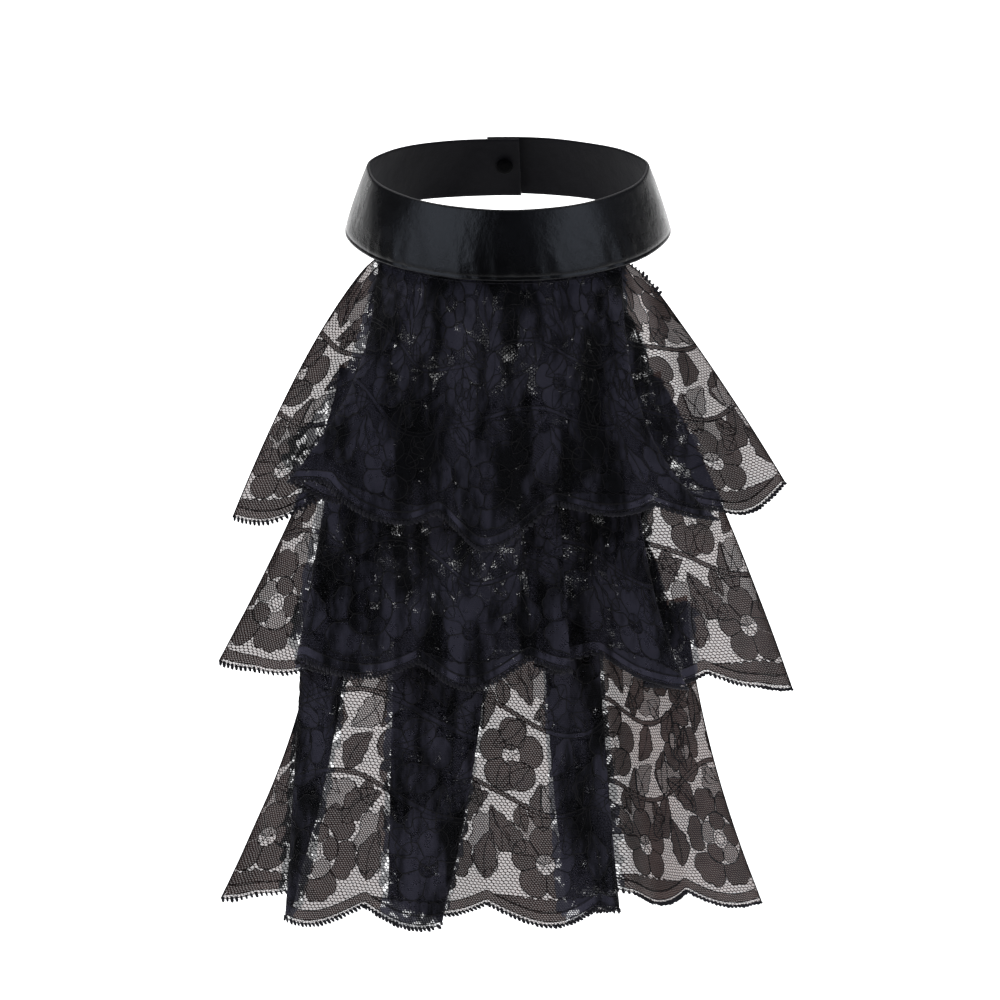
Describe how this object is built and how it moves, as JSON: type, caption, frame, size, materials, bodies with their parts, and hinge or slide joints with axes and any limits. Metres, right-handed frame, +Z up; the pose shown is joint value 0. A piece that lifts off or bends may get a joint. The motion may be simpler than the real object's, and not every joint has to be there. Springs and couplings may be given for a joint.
{
  "type": "lace jabot",
  "caption": "Tiered jabot of gathered, scalloped floral lace ruffles on a lace backing, hung from a flared satin neck band that snaps shut at the back.",
  "frame": {"origin": "centre of the neck ring, halfway up the band, halfway between its front and back", "axes": "+Z up along the ring's axis, -Y to the front where the ruffles hang, +X to the viewer's right seen from the front"},
  "size_m": [0.2251, 0.166, 0.2852],
  "materials": {
    "satin": "black satin with a soft sheen",
    "lace": "matt black machine lace, see-through net",
    "snap": "black moulded snap"
  },
  "bodies": {
    "root": {"neck_band": "satin", "snap_cap": "snap", "snap_joint": "snap", "snap_cap_outer": "snap", "lace_backing": "lace", "ruffle_top": "lace", "ruffle_middle": "lace", "ruffle_bottom": "lace"}
  },
  "joints": []
}
